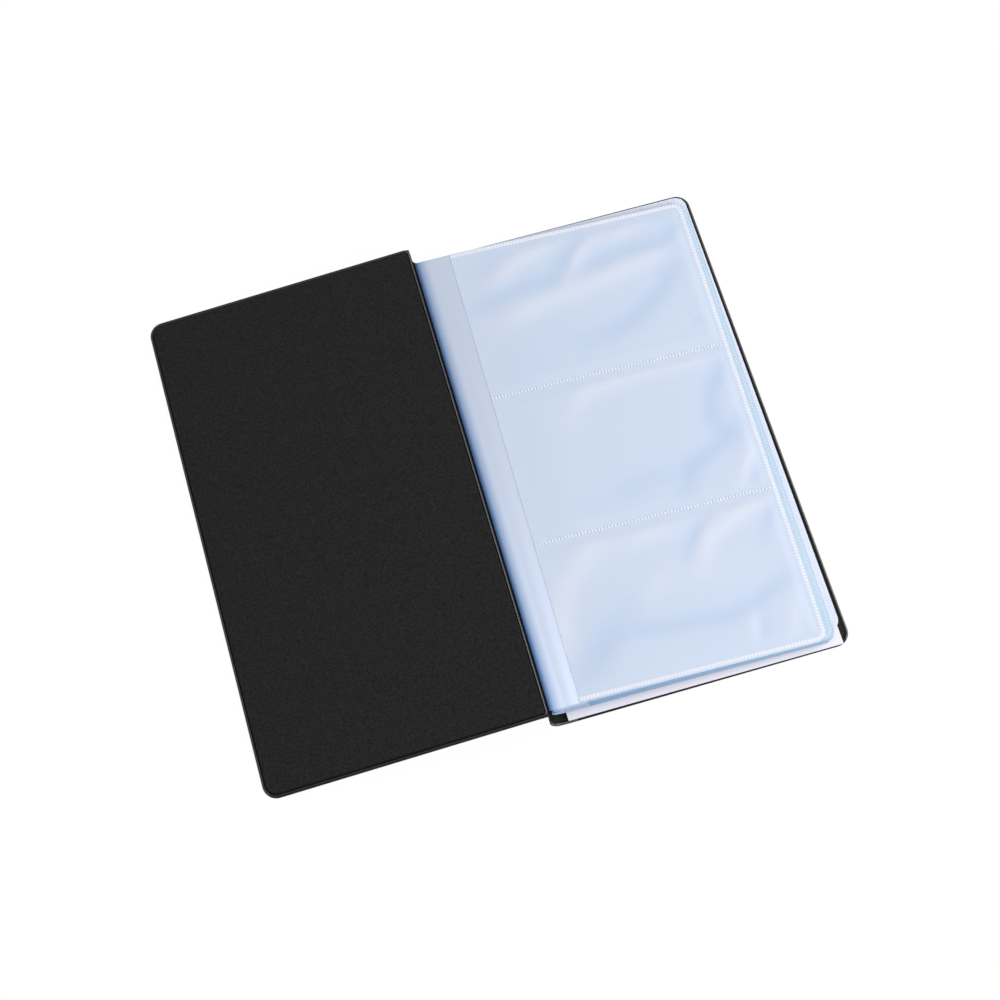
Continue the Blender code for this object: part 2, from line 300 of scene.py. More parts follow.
def make_gutter_film(name):
    """Film beside the fold, with painted shade. The attribute clear runs from 0, deep in the spine, to 1,
    out on the leaf.
    """
    material, shader, place, _ = start_film(name, GUTTER_HAZE, 2.0, 0.3, 0.42)
    clear = add(material, "ShaderNodeAttribute", {}, attribute_name="clear").outputs["Fac"]
    along = add(material, "ShaderNodeSeparateXYZ", {"Vector": place}).outputs["Y"]
    nearness = progress(material, along, GUTTER_END_Y, -GUTTER_END_Y)
    easing = add(material, "ShaderNodeMath", {0: nearness, 1: NEAR_EASING}, operation="POWER").outputs[0]
    brightness = between(material, easing, FAR_BRIGHTNESS, NEAR_BRIGHTNESS)
    sockets = {"Vector": ramp(material, clear, *GUTTER_STOPS), "Scale": brightness}
    colour = add(material, "ShaderNodeVectorMath", sockets, operation="SCALE").outputs["Vector"]
    feed(material, shader.inputs["Base Color"], colour)
    return material


print("gutter film in", len(GUTTER_STOPS), "steps from the spine to the leaf")

# %% Tints of the films, with the painted shading of the pocket waves
# Each pocket film: tight, plain and raised colours; their spread is painted shading of the waves, partly
# the film's milkiness.
POCKET_TINTS_AND_SHADES = {
    "pocket_film_soft": ((0.51, 0.61, 0.77), (0.585, 0.66, 0.79), (0.69, 0.735, 0.825)),
    "pocket_film_block": ((0.455, 0.61, 0.75), (0.505, 0.65, 0.78), (0.565, 0.685, 0.80)),
    "pocket_film_lowest": ((0.70, 0.72, 0.83), (0.74, 0.76, 0.86), (0.77, 0.79, 0.88)),
}
pocket_films = [make_pocket_film(name, *tints) for name, tints in POCKET_TINTS_AND_SHADES.items()]
top_pockets, block_pockets, lowest_pockets = pocket_films
leaf_film = make_base_film("leaf_film_clear", (0.58, 0.655, 0.79), (0.54, 0.625, 0.775), 0.8)
film_edge = make_cut_edge("film_cut_edge", (0.06, 0.225, 0.47), (0.22, 0.43, 0.66))
# A painted glint: a bright finish for the cut ends of the outermost fold.
fold_glint = make_base_film("fold_cut_edge_glint", (0.82, 0.90, 0.97), (0.76, 0.86, 0.95), 1.0)
weld_white = make_base_film("weld_milky", (0.735, 0.755, 0.81), (0.69, 0.72, 0.785), 0.9)
weld_faint = make_base_film("weld_milky_below", (0.74, 0.785, 0.86), (0.69, 0.745, 0.83), 0.55)
weld_band = make_base_film("weld_band_milky", (0.635, 0.67, 0.765), (0.615, 0.655, 0.755), 0.8)
weld_seam = make_base_film("weld_seam_tight", (0.44, 0.54, 0.73), (0.42, 0.52, 0.71), 0.1)
gutter_film = make_gutter_film("gutter_film_deepening_and_shade")
print("film finishes:", *POCKET_TINTS_AND_SHADES, leaf_film.name, gutter_film.name, film_edge.name, weld_white.name)

# %% [markdown]
# **Card and board.** The sheet inside the back cover is smooth white card with a cool cast. The boards
# are grey pulp board with flecks; they hardly show, but a reader who opens the model should find board.

# %% Card and board
PULP_SHINE = 0.25
PULP_TOOTH = 0.03 * MM


def make_pulp(name, pale, dark, fleck, roughness):
    """Pressed paper fibre: flecks of two shades and a faint tooth."""
    material, shader, place = new_finish(name)
    fibre = cloud(material, place, fleck, 6.0)
    feed(material, shader.inputs["Base Color"], ramp(material, fibre, (0.35, dark), (0.6, pale)))
    feed(material, shader.inputs["Normal"], bump(material, fibre, 0.25, PULP_TOOTH))
    feed(material, shader.inputs["Roughness"], between(material, fibre, roughness, roughness + 0.1))
    shader.inputs["Specular IOR Level"].default_value = PULP_SHINE
    return material


card_white = make_pulp("backing_card_smooth", (0.635, 0.615, 0.675), (0.605, 0.59, 0.65), 0.7 * MM, 0.7)
board_grey = make_pulp("pulp_board", (0.40, 0.38, 0.35), (0.28, 0.265, 0.24), 1.1 * MM, 0.85)


def refinish(node, material):
    """A solid whose shape is right keeps it and only gets a better finish."""
    for material_slot in frame["nodes"][node].material_slots:
        material_slot.material = material


refinish("backing_sheet", card_white)
refinish("front_cover_board", board_grey)
refinish("back_cover_board", board_grey)
print("card and boards finished")

# %% [markdown]
# ## From bmesh to a piece
# Each new piece is drawn in a bmesh, in place, and becomes an object at the origin. Most pieces then ride
# on a body of the frame, and the solids each piece stands for are hidden and printed.

# %% Finish a piece
def finish_piece(name, bm, materials, smooth=32):
    """Turn a bmesh into an object with its materials, round where its faces meet gently."""
    mesh = bpy.data.meshes.new(name)
    bm.to_mesh(mesh)
    bm.free()
    for material in materials:
        mesh.materials.append(material)
    mesh.shade_smooth()
    mesh.set_sharp_from_angle(angle=math.radians(smooth))
    piece = bpy.data.objects.new(name, mesh)
    bpy.context.collection.objects.link(piece)
    return piece


def stand_for(piece, slot, *nodes):
    """Hide the solids that this piece stands for, and print them; the material slot is not used."""
    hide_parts(*nodes)
    print(f"{piece.name}: {len(piece.data.polygons)} faces, for {', '.join(nodes)}")


def only_face(parts):
    """The face among an operator's results."""
    return next(part for part in parts if isinstance(part, bmesh.types.BMFace))


print("piece helpers ready")

# %% [markdown]
# ## The covers' outer skin
# Each cover is a plain plate of vinyl with two round corners at its free edge. A rectangle with bevelled
# corner points gives true arcs; extruding it and bevelling its rim softens the cut edge. The edge at the
# crease stays square, because the spine's skin carries on from there; on the turned back cover that edge
# is leaned over, so that it runs along the spine.

# %% Outer skins
COVER_CORNER = 5.5 * MM
CUT_ROUNDING = 0.14 * MM
CREST_FLAP = 3.0 * MM
SPINE_START = foot.x + 2.2 * MM
CORNER_STEPS = 10


def lay_panel(bm, side, near, far, half, fore_radius, crease_radius):
    """One flat face, from near to far off the crease on that side, with round corners."""
    bmesh.ops.create_grid(bm, x_segments=1, y_segments=1, size=0.5)
    middle = (near + far) / 2
    bmesh.ops.scale(bm, vec=(far - near, 2 * half, 1), verts=bm.verts)
    bmesh.ops.translate(bm, vec=(side * middle, 0, 0), verts=bm.verts)
    for radius, at_fore in ((fore_radius, True), (crease_radius, False)):
        corners = [vert for vert in bm.verts if (abs(vert.co.x) > middle) == at_fore]
        if radius > 0:
            bmesh.ops.bevel(bm, geom=corners, offset=radius, offset_type="OFFSET", segments=CORNER_STEPS,
                            profile=0.5, affect="VERTICES", material=-1)
    return bm.faces[:][0]


def raise_face(bm, face, height):
    """Extrude a face straight up and return the new top."""
    top = only_face(bmesh.ops.extrude_face_region(bm, geom=[face])["geom"])
    bmesh.ops.translate(bm, vec=(0, 0, height), verts=top.verts)
    return top


def make_skin(name, side, near, lean, seat, floor):
    """A cover's outer skin, from near its crease to its free edges, leaned at the crease, then seated."""
    bm = bmesh.new()
    face = lay_panel(bm, side, near, COVER_WIDTH, COVER_HALF, COVER_CORNER, 0)
    bmesh.ops.translate(bm, vec=(0, 0, floor), verts=bm.verts)
    raise_face(bm, face, SKIN)
    bmesh.ops.recalc_face_normals(bm, faces=bm.faces)
    free = near + CUT_ROUNDING
    level = [edge for edge in bm.edges if edge.verts[0].co.z == edge.verts[1].co.z]
    rim = [edge for edge in level if max(side * vert.co.x for vert in edge.verts) > free]
    bmesh.ops.bevel(bm, geom=rim, offset=CUT_ROUNDING, offset_type="OFFSET", segments=2, profile=0.5,
                    affect="EDGES", material=-1)
    leaning = Matrix(((1, lean, 0, 0), (0, 1, 0, 0), (0, 0, 1, 0), (0, 0, 0, 1)))
    crease = [vert for vert in bm.verts if side * vert.co.x < COVER_WIDTH / 2]
    bmesh.ops.transform(bm, matrix=leaning, verts=crease)
    bmesh.ops.transform(bm, matrix=seat, verts=bm.verts)
    return finish_piece(name, bm, [cover_vinyl])


back_seat = Matrix.Translation(BACK_PANEL) @ Matrix.Rotation(BACK_TURN, 4, "Z")
front_seat = Matrix.Translation(hinge) @ Matrix.Rotation(-FRONT_SLOPE, 4, "Y")
back_near = (SPINE_START - BACK_PANEL.x) / math.cos(BACK_TURN)
back_skin = make_skin("back_outer_skin", 1, back_near, math.tan(BACK_TURN), back_seat, 0.0)
front_skin = make_skin("front_outer_skin", -1, CREST_FLAP, 0.0, front_seat, -SKIN / 2)
for piece, body in ((back_skin, "back_cover"), (front_skin, "front_cover")):
    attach(piece, body)
    stand_for(piece, "cover_vinyl", f"{body}_skin")

# %% [markdown]
# ## The covers' inner lining
# The lining is welded to the skin all round. The welding tool leaves a round bead at the edge and a
# groove inside it, and from there the vinyl climbs over the edge of the board. One face, inset again and
# again, draws that whole profile round every corner at once; a sweep along the outline would need care
# at each corner. The bead takes the glossy bead finish with its painted highlight, but its outer half
# along the two short sides keeps the plain lining finish and stays dark. The underside is hollowed for
# the board.

# %% Inner linings
BEAD_WIDTH = 1.15 * MM
BEAD_FOOT = SKIN + 0.35 * MM
BEAD_TOP = SKIN + 0.8 * MM
GROOVE_LEVEL = SKIN + 0.32 * MM
GROOVE_WIDTH = 0.15 * MM
SHOULDER_WIDTH = 0.35 * MM
PANEL_RIM = 0.4 * MM
CREASE_ROUNDING = 2.6 * MM
BOARD_HOLLOW = 1.7 * MM
BOARD_COVERING = 0.4 * MM
CREASE_BAND = 2.3 * MM
CREASE_SQUEEZE = 0.65
LINING_CLEARANCE = 0.01 * MM
PROFILE_STEPS = 8


def welded_edge():
    """Insets and heights across the welded edge, from the outside in: bead, groove, shoulder, panel."""
    profile = []
    for step in range(1, PROFILE_STEPS + 1):
        angle = math.pi * step / PROFILE_STEPS
        rise = (BEAD_TOP - BEAD_FOOT) * math.sin(angle)
        profile.append((BEAD_WIDTH / 2 * (1 - math.cos(angle)), BEAD_FOOT + rise))
    shoulder = BEAD_WIDTH + GROOVE_WIDTH
    for step in range(PROFILE_STEPS + 1):
        share = step / PROFILE_STEPS
        climb = (PANEL_TOP - GROOVE_LEVEL) * (1 - math.cos(math.pi * share)) / 2
        profile.append((shoulder + SHOULDER_WIDTH * share, GROOVE_LEVEL + climb))
    profile.append((shoulder + SHOULDER_WIDTH + PANEL_RIM, PANEL_TOP))
    return profile


def make_lining(name, side, seat, floor):
    """A cover's lining with bead, groove and shoulder, hollow for the board, squeezed at the crease."""
    bm = bmesh.new()
    base = SKIN + LINING_CLEARANCE
    sizes = (LINING_SETBACK, COVER_WIDTH, COVER_HALF, COVER_CORNER, CREASE_ROUNDING)
    bottom = lay_panel(bm, side, *sizes)
    bmesh.ops.translate(bm, vec=(0, 0, base), verts=bm.verts)
    top = raise_face(bm, bottom, BEAD_FOOT - base)
    bmesh.ops.recalc_face_normals(bm, faces=bm.faces)
    inset, height = 0.0, BEAD_FOOT
    for next_inset, next_height in welded_edge():
        ring = bmesh.ops.inset_individual(bm, faces=[top], thickness=next_inset - inset,
                                          depth=next_height - height, use_even_offset=True)
        for face in ring["faces"]:
            face.normal_update()
            # Painted highlight: these bead faces take the lighter bead finish; the outer half of the bead
            # along the short sides stays dark.
            polished_and_highlighted = next_inset > BEAD_WIDTH / 2 or abs(face.normal.x) > abs(face.normal.y)
            face.material_index = 1 if polished_and_highlighted and next_inset <= BEAD_WIDTH else 0
        inset, height = next_inset, next_height
    bmesh.ops.inset_individual(bm, faces=[bottom], thickness=BOARD_HOLLOW, use_even_offset=True)
    raise_face(bm, bottom, PANEL_TOP - BOARD_COVERING - base)
    bmesh.ops.translate(bm, vec=(0, 0, floor), verts=bm.verts)
    crease = [vert for vert in bm.verts if side * vert.co.x < LINING_SETBACK + CREASE_BAND]
    from_crease = Matrix.Translation((-side * LINING_SETBACK, 0, 0))
    bmesh.ops.scale(bm, vec=(CREASE_SQUEEZE, 1, 1), verts=crease, space=from_crease)
    bmesh.ops.recalc_face_normals(bm, faces=bm.faces)
    bmesh.ops.transform(bm, matrix=seat, verts=bm.verts)
    return finish_piece(name, bm, [lining_vinyl, bead_vinyl])


back_lining = make_lining("back_inner_lining", 1, back_seat, 0.0)
front_lining = make_lining("front_inner_lining", -1, front_seat, -SKIN / 2)
for piece, body in ((back_lining, "back_cover"), (front_lining, "front_cover")):
    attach(piece, body)
    stand_for(piece, "lining_vinyl", f"{body}_lining")

# %% [markdown]
# ## The soft spine
# Between the covers the vinyl has no board. It runs flat under the leaves, bends up round the folds,
# stands as a wall and turns over the crest onto the front cover. A section face is pushed along the
# straight runs and spun round the bends, so the wall keeps one thickness. It is cut in two at half
# height, because each half bends about another hinge: the foot when the spine leans, the crest when the
# cover shuts. The back cover has slipped towards the reader, so the finished spine is sheared along Y
# with its height.

# %% The path of the spine
SPINE_BEND = 4.6 * MM
WALL = 0.30 * MM
CREST_ROUNDING = 0.45 * MM
RUN_STEP = 0.8 * MM
BEND_STEPS = 14
CREST_STEPS = 8

bend_centre = foot + Vector((0, 0, SPINE_BEND))
to_hinge = hinge - bend_centre
touch_angle = math.atan2(to_hinge.z, to_hinge.x) + math.acos(SPINE_BEND / to_hinge.length)
bend_angle = 1.5 * math.pi - touch_angle
touch = bend_centre + SPINE_BEND * Vector((math.cos(touch_angle), 0, math.sin(touch_angle)))
up_wall = (hinge - touch).normalized()
down_front = Vector((-math.cos(FRONT_SLOPE), 0, -math.sin(FRONT_SLOPE)))
crest_angle = up_wall.angle(down_front)
crest_tangent = CREST_ROUNDING * math.tan(crest_angle / 2)
crest_start = hinge - up_wall * crest_tangent
crest_centre = crest_start + CREST_ROUNDING * Vector((-up_wall.z, 0, up_wall.x))
wall_length = (crest_start - touch).length
half_wall = touch + up_wall * wall_length / 2
print(f"bend {math.degrees(bend_angle):.1f} degrees, wall {wall_length / MM:.2f} mm,",
      f"crest {math.degrees(crest_angle):.1f} degrees")

# %% Sweep a section along the spine
STANDING = Matrix(((0, 0, 1, 0), (1, 0, 0, 0), (0, 1, 0, 0), (0, 0, 0, 1)))
ALONG_SPINE = Vector((0, 1, 0))
SECTION_ROUNDING = 0.4


def strip_section(bm, half, thickness, lift, start_x):
    """A thin upright rectangle across the path, lifted off the middle of the skin."""
    bmesh.ops.create_grid(bm, x_segments=1, y_segments=1, size=0.5, matrix=STANDING)
    bmesh.ops.scale(bm, vec=(1, 2 * half, thickness), verts=bm.verts)
    bmesh.ops.bevel(bm, geom=bm.verts, offset=SECTION_ROUNDING * thickness, offset_type="OFFSET",
                    segments=2, profile=0.5, affect="VERTICES", material=-1)
    bmesh.ops.translate(bm, vec=(start_x, 0, foot.z + lift), verts=bm.verts)
    return bm.faces[:][0]


def push(bm, face, way, length):
    """Extrude a face along a straight way in short steps, so that the run can bend later."""
    steps = max(1, round(length / RUN_STEP))
    for _ in range(steps):
        face = only_face(bmesh.ops.extrude_face_region(bm, geom=[face])["geom"])
        bmesh.ops.translate(bm, vec=way * length / steps, verts=face.verts)
    return face


def turn(bm, face, centre, angle, steps):
    """Spin a face about a line along the spine."""
    swept = bmesh.ops.spin(bm, geom=[face, *face.edges, *face.verts], cent=centre, axis=ALONG_SPINE,
                           angle=angle, steps=steps)
    return only_face(swept["geom_last"])


def sweep_bend(bm, face, start_x):
    """From the back cover's crease round the bend."""
    face = push(bm, face, Vector((-1, 0, 0)), start_x - foot.x)
    return turn(bm, face, bend_centre, bend_angle, BEND_STEPS)


def sweep_foot(bm, face, start_x):
    """From the back cover's crease, round the bend and half way up the wall."""
    return push(bm, sweep_bend(bm, face, start_x), up_wall, wall_length / 2)


def stand_at_half_wall(bm, start_x):
    """Carry a section that was drawn at the back cover's crease to the middle of the wall."""
    bmesh.ops.translate(bm, vec=(foot.x - start_x, 0, 0), verts=bm.verts)
    bmesh.ops.rotate(bm, cent=bend_centre, matrix=Matrix.Rotation(bend_angle, 3, "Y"), verts=bm.verts)
    bmesh.ops.translate(bm, vec=half_wall - touch, verts=bm.verts)


def sweep_crest(bm, face, flap):
    """From the middle of the wall over the crest and a little way onto the front cover."""
    face = push(bm, face, up_wall, wall_length / 2)
    face = turn(bm, face, crest_centre, -crest_angle, CREST_STEPS)
    return push(bm, face, down_front, flap - crest_tangent)


slip_at_foot = BACK_PANEL.y + (foot.x - BACK_PANEL.x) * math.tan(BACK_TURN)
slip_rate = -slip_at_foot / hinge.z
slip_with_height = Matrix(((1, 0, 0, 0), (0, 1, slip_rate, slip_at_foot), (0, 0, 1, 0), (0, 0, 0, 1)))


def close_up(bm):
    """Shear a finished sweep to meet both covers, and turn every face outwards."""
    bmesh.ops.transform(bm, matrix=slip_with_height, verts=bm.verts)
    bmesh.ops.recalc_face_normals(bm, faces=bm.faces)


print("sweep helpers ready")

# %% Outer skin of the spine
foot_bm = bmesh.new()
sweep_foot(foot_bm, strip_section(foot_bm, COVER_HALF, WALL, 0.0, SPINE_START), SPINE_START)
close_up(foot_bm)
spine_foot_skin = finish_piece("spine_foot_skin", foot_bm, [cover_vinyl])

crest_bm = bmesh.new()
crest_section = strip_section(crest_bm, COVER_HALF, WALL, 0.0, SPINE_START)
stand_at_half_wall(crest_bm, SPINE_START)
sweep_crest(crest_bm, crest_section, CREST_FLAP)
close_up(crest_bm)
spine_crest_skin = finish_piece("spine_crest_skin", crest_bm, [cover_vinyl])
print("spine skin", round(WALL / MM, 2), "mm thick, in two halves")

# %% Lining of the spine and the welded beads at its ends
SPINE_LINING = 0.14 * MM
LINING_LIFT = WALL / 2 + LINING_CLEARANCE + SPINE_LINING / 2
LINING_STOP = 0.9 * MM
NEAR_BEAD = 0.5 * MM
FAR_BEAD = 0.25 * MM
BEAD_SIDES = 12
LINING_GAP = 0.4 * MM
lining_start = BACK_PANEL.x - LINING_GAP


def bead_section(bm, y, radius, start_x):
    """A round section for the bead welded along one end of the spine, half sunk in the skin."""
    place = Matrix.Translation((start_x, y, foot.z + (WALL + radius) / 2)) @ STANDING
    made = bmesh.ops.create_circle(bm, cap_ends=True, segments=BEAD_SIDES, radius=radius, matrix=place)
    return made["verts"][0].link_faces[0]


lining_half = COVER_HALF - BEAD_WIDTH
crease_drift = COVER_HALF * math.sin(BACK_TURN)

foot_bm = bmesh.new()
strip = strip_section(foot_bm, lining_half, SPINE_LINING, LINING_LIFT, lining_start)
sweep_foot(foot_bm, strip, lining_start)
for end, radius in ((1, FAR_BEAD), (-1, NEAR_BEAD)):
    bead_start = BACK_PANEL.x + LINING_SETBACK - end * crease_drift
    bead = bead_section(foot_bm, end * (COVER_HALF - radius), radius, bead_start)
    sweep_bend(foot_bm, bead, bead_start)
# The beads at the spine's ends take the bead finish: real gloss and a painted highlight.
for face in foot_bm.faces:
    face.material_index = 1 if abs(face.calc_center_median().y) > lining_half else 0
close_up(foot_bm)
spine_foot_lining = finish_piece("spine_foot_lining", foot_bm, [lining_vinyl, bead_vinyl])

crest_bm = bmesh.new()
strip = strip_section(crest_bm, lining_half, SPINE_LINING, LINING_LIFT, lining_start)
stand_at_half_wall(crest_bm, lining_start)
push(crest_bm, strip, up_wall, wall_length / 2 + crest_tangent - LINING_STOP)
close_up(crest_bm)
spine_crest_lining = finish_piece("spine_crest_lining", crest_bm, [lining_vinyl])
print("spine lining", round(SPINE_LINING / MM, 2), "mm thick, with a bead at each end")

# %% [markdown]
# The four spine pieces keep their places: their transforms are baked into their meshes, and the solids
# they stand for are hidden.

# %% Bake the spine pieces
for piece in (spine_foot_skin, spine_foot_lining):
    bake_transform(piece)
for piece in (spine_crest_skin, spine_crest_lining):
    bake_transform(piece)
for piece in (spine_foot_skin, spine_crest_skin):
    stand_for(piece, "cover_vinyl", "spine_skin")
for piece in (spine_foot_lining, spine_crest_lining):
    stand_for(piece, "lining_vinyl", "spine_lining")

# %% [markdown]
# ## The leaves
# Each leaf is a base film, a pocket film welded on it along five lines, and a narrow gutter that runs to
# the fold. Handling has pushed the leaves askew: the top leaf lies a little to the left, the block below
# it together, each leaf a touch nearer to the reader than the one above, and the lowest leaf sticks out
# to the right. The pocket edge, the welds and the films all follow from these few sizes.

# %% Sizes of a leaf
LEAF_COUNT = 10
FILM = 0.1 * MM
POCKET_EDGE_X = 8.6 * MM
LEAF_WIDTH = 96.6 * MM
LEAF_BOTTOM = -97.1 * MM
LEAF_HEIGHT = 192.55 * MM
LEAF_CORNER = 4.5 * MM
BLOCK_SLIP = Vector((2.1 * MM, -0.4 * MM, 0))
BLOCK_CREEP = Vector((0.1 * MM, -0.07 * MM, 0))
LOWEST_SLIP = Vector((4.6 * MM, 1.9 * MM, 0))
TOP_TWIST = math.radians(-0.74)
BLOCK_TWIST = math.radians(-0.32)
LOWEST_TWIST = math.radians(0.49)
ROOT_POCKET_GAP = 0.15 * MM
FORE_POCKET_GAP = 0.05 * MM
WELD_INSET = 1.4 * MM
FAR_WELD_INSET = 1.0 * MM
FORE_WELD_INSET = 1.0 * MM
POCKET_HEIGHT = 63.1 * MM
FIRST_POCKET_HEIGHT = 62.8 * MM
LOWEST_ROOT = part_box("leaf_10_gutter")[1].z
ROOT_PITCH = (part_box("leaf_01_gutter")[1].z - LOWEST_ROOT) / (LEAF_COUNT - 1)
FORE_PITCH = 0.3 * MM
FOLD_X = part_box("sheet_1_fold")[1].x

near_weld = LEAF_BOTTOM + WELD_INSET
first_divider = near_weld + FIRST_POCKET_HEIGHT
far_weld = LEAF_BOTTOM + LEAF_HEIGHT - FAR_WELD_INSET
weld_levels = [near_weld, first_divider, first_divider + POCKET_HEIGHT, far_weld]
print("weld lines at", [round(level / MM, 1) for level in weld_levels], "mm along the leaf")


def film_level(number, depth):
    """Height of the top of a leaf's base film, a distance in from its pocket edge."""
    root = LOWEST_ROOT + (LEAF_COUNT - number) * ROOT_PITCH
    fore = LOWEST_ROOT + (LEAF_COUNT - number) * FORE_PITCH
    return root + (fore - root) * depth / LEAF_WIDTH


def leaf_slip(number):
    """How far a leaf has slipped across and along the stack, beside the top leaf."""
    if number == 1:
        return Vector((0, 0, 0))
    return LOWEST_SLIP if number == LEAF_COUNT else BLOCK_SLIP + (number - 2) * BLOCK_CREEP


def leaf_seat(number):
    """Where a leaf lies: its pocket edge across the book, its small twist and its slip along the book."""
    twist = {1: TOP_TWIST, LEAF_COUNT: LOWEST_TWIST}.get(number, BLOCK_TWIST)
    slip = leaf_slip(number)
    across = Matrix.Translation((POCKET_EDGE_X + slip.x, 0, 0))
    return across @ Matrix.Rotation(twist, 4, "Z") @ Matrix.Translation((0, slip.y, 0))


# %% [markdown]
# ** Waves in the pocket film.** The empty pockets are slack: the film lies in soft ridges and hollows that
# start at the welds. Each wave is a short line with a width; its height falls away like a bell. A wave
# also paints the film's shading: brighter where it lifts and bluer where it lies tight, partly the film's
# own milkiness. Lines are in millimetres on the open leaf, across from the pocket edge and up from the
# middle.

# %% Waves of the top leaf
RIDGES = [
    (3.6, 0.8, (11, 78), (24, 85), (44, 91)),
    (2.8, 0.9, (42, 73), (50, 83), (60, 90)),
    (3.0, 0.8, (62, 86), (78, 90)),
    (4.4, 0.75, (10, 60), (35, 66), (53, 69), (88, 76)),
    (4.2, 0.8, (27, 14), (36, 24), (61, 27), (95, 27)),
    (2.6, 0.9, (92, -14), (83, -29)),
    (5.2, 1.0, (25, -34), (8, -51), (2, -66), (0, -84)),
    (4.2, 0.7, (28, -42), (60, -37)),
    (3.8, 0.95, (58, -58), (65, -46), (81, -39), (96, -35)),
    (4.0, 0.6, (34, -65), (47, -55)),
    (9.0, 0.25, (57, -60), (76, -61)),
    (2.4, 0.6, (71, -79), (69, -92)),
    (2.6, 0.7, (89, -77), (84, -93)),
]
HOLLOWS = [
    (4.0, 1.0, (0, 68), (23, 74), (36, 75), (52, 91)),
    (3.2, 0.6, (7, 83), (20, 91)),
    (3.4, 1.0, (46, 75), (65, 80), (85, 81), (96, 90)),
    (4.4, 1.1, (42, 44), (60, 49), (75, 58), (89, 73)),
    (1.2, 1.2, (86, 43), (89, 43)),
    (10.0, 0.5, (12, 38), (34, 50)),
    (4.0, 1.1, (95, 28), (83, 13), (80, 4), (81, -3), (85, -9)),
    (4.0, 1.1, (90, -3), (76, -12), (66, -16), (60, -29)),
    (5.2, 0.6, (66, -16), (47, -18), (27, -24)),
    (2.4, 0.8, (92, -22), (86, -32)),
    (2.8, 0.9, (53, -52), (59, -44), (66, -37)),
    (2.8, 0.8, (95, -35), (83, -52)),
    (5.4, 1.15, (-3, -91), (9, -82), (26, -66)),
    (3.4, 1.0, (20, -75), (48, -77), (60, -78), (72, -76), (90, -68)),
    (2.4, 0.6, (76, -80), (73, -92)),
]
print(len(RIDGES), "ridges and", len(HOLLOWS), "hollows")

# %% Height of the film at a point
WAVE_END_WEIGHT = 0.35
WAVE_END_WIDTHS = 3
SLACK_WAVE_ACROSS = 26
SLACK_WAVE_ALONG = 19
SLACK_WAVE_STRIDE = 3.7


def distance_to(x, y, start, end):
    """Distance from a point to a short straight line."""
    along_x, along_y = end[0] - start[0], end[1] - start[1]
    share = ((x - start[0]) * along_x + (y - start[1]) * along_y) / (along_x**2 + along_y**2)
    share = min(max(share, 0.0), 1.0)
    return math.hypot(x - start[0] - share * along_x, y - start[1] - share * along_y)


def bell(x, y, wave):
    """How much of a wave reaches a point: 1 on its line, fading sideways and towards its ends."""
    width, weight, *line = wave
    nearest = min(distance_to(x, y, start, end) for start, end in zip(line, line[1:]))
    from_end = min(math.dist((x, y), line[0]), math.dist((x, y), line[-1]))
    share = min(from_end / (WAVE_END_WIDTHS * width), 1.0)
    taper = WAVE_END_WEIGHT + (1 - WAVE_END_WEIGHT) * share
    return weight * taper * math.exp(-((nearest / width) ** 2))


def wave_at(x, y):
    """The top leaf's film at a point: above 0 on ridges, below 0 in hollows."""
    up = sum(bell(x, y, wave) for wave in RIDGES)
    down = sum(bell(x, y, wave) for wave in HOLLOWS)
    return up - down


def other_wave_at(x, y, number):
    """Painted waves for the leaves below: a soft noise, each leaf its own, that only shades their pocket
    film's colour; their film stays flat.
    """
    place = (x / SLACK_WAVE_ACROSS, y / SLACK_WAVE_ALONG, number * SLACK_WAVE_STRIDE)
    return noise.noise(Vector(place))


print("film at the middle of the top leaf:", round(wave_at(LEAF_WIDTH / MM / 2, 0), 2))

# %% [markdown]
# The leaf's outline is drawn once, cut into a fine grid by planes, and shaped for each film. Cutting a
# rounded outline keeps its true corners; a ready-made grid would have to be trimmed. The waves fade
# out at the welds, where the two films are one.

# %% Films of a leaf
TOP_GRID = 1.2 * MM
LOWER_GRID = 6.0 * MM
SLACK = 0.42 * MM
MOUTH_FADE = 20.0 * MM
MOUTH_GAP = 0.02 * MM
HANG_REACH = 1.0 * MM
HANG_CLEARANCE = 0.05 * MM
GUTTER_CLEARANCE = 0.2 * MM
WAVE_HEIGHT = 0.30 * MM
WELD_FADE = 4.5 * MM
WELD_HALF = 0.9 * MM
CUT_TOLERANCE = 1e-7
EDGE_FACING = 0.5
LIFT_GAIN = 0.42
LIFT_ON_WELD = 0.25


def leaf_face(grid):
    """A leaf's outline from its pocket edge, cut into cells of about that size."""
    bm = bmesh.new()
    bmesh.ops.create_grid(bm, x_segments=1, y_segments=1, size=0.5)
    bmesh.ops.scale(bm, vec=(LEAF_WIDTH, LEAF_HEIGHT, 1), verts=bm.verts)
    middle = (LEAF_WIDTH / 2, LEAF_BOTTOM + LEAF_HEIGHT / 2, 0)
    bmesh.ops.translate(bm, vec=middle, verts=bm.verts)
    fore = [vert for vert in bm.verts if vert.co.x > middle[0]]
    bmesh.ops.bevel(bm, geom=fore, offset=LEAF_CORNER, offset_type="OFFSET", segments=CORNER_STEPS,
                    profile=0.5, affect="VERTICES", material=-1)
    for normal, start, span in (((1, 0, 0), 0.0, LEAF_WIDTH), ((0, 1, 0), LEAF_BOTTOM, LEAF_HEIGHT)):
        cuts = round(span / grid)
        for cut in range(1, cuts):
            level = start + span * cut / cuts
            bmesh.ops.bisect_plane(bm, geom=[*bm.verts, *bm.edges, *bm.faces], dist=CUT_TOLERANCE,
                                   plane_co=Vector(normal) * level, plane_no=normal)
    return bm


def ease(share):
    """A soft start and a soft end between 0 and 1, held there outside them."""
    share = min(max(share, 0.0), 1.0)
    return share * share * (3 - 2 * share)


